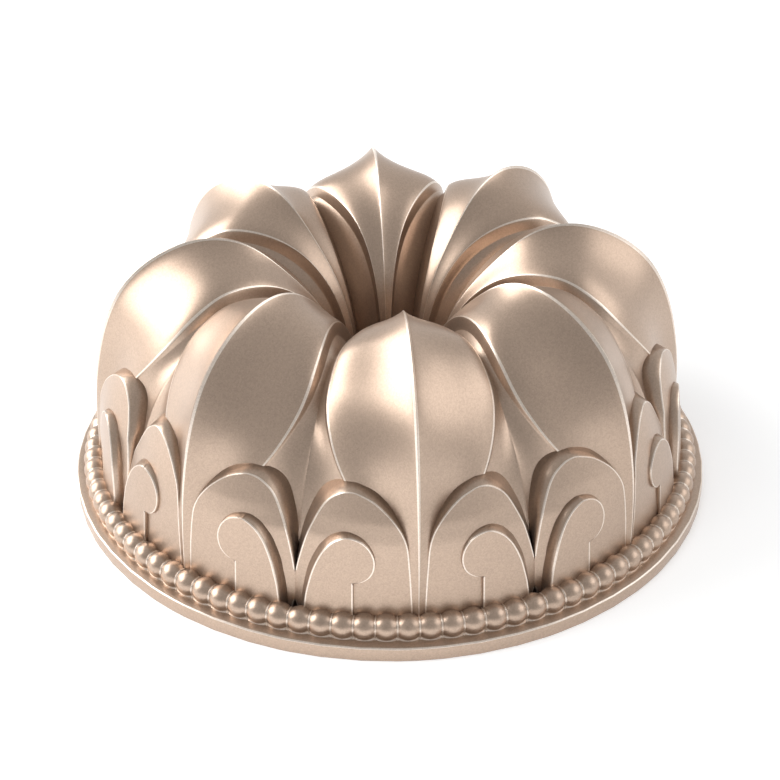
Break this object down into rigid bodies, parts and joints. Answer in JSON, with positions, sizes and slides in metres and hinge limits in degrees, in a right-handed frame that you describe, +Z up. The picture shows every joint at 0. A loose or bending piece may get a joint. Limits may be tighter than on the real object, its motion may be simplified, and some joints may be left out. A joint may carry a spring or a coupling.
{
  "type": "bundt pan",
  "caption": "Round cast fluted cake pan with ridged petals, raised arch and scroll panels, a beaded rim and a hollow centre tube.",
  "frame": {"origin": "centre of the rim's flat resting face, pan lying upside down", "axes": "+Z up through the centre tube towards the crest, -Y through the ridge of the front petal, +X to the right"},
  "size_m": [0.26, 0.26, 0.1081],
  "materials": {
    "bronze_paint": "satin champagne bronze metallic coat on cast aluminium, very fine sparkle",
    "coating": "smooth satin bronze nonstick coat"
  },
  "bodies": {
    "root": {"rim_flange": "bronze_paint", "bead_border": "bronze_paint", "petal_1": "bronze_paint", "petal_2": "bronze_paint", "petal_3": "bronze_paint", "petal_4": "bronze_paint", "petal_5": "bronze_paint", "petal_6": "bronze_paint", "petal_7": "bronze_paint", "petal_8": "bronze_paint", "arch_panels": "bronze_paint", "scrolls": "bronze_paint", "tube_collar": "bronze_paint", "nonstick_lining": "coating"}
  },
  "joints": []
}
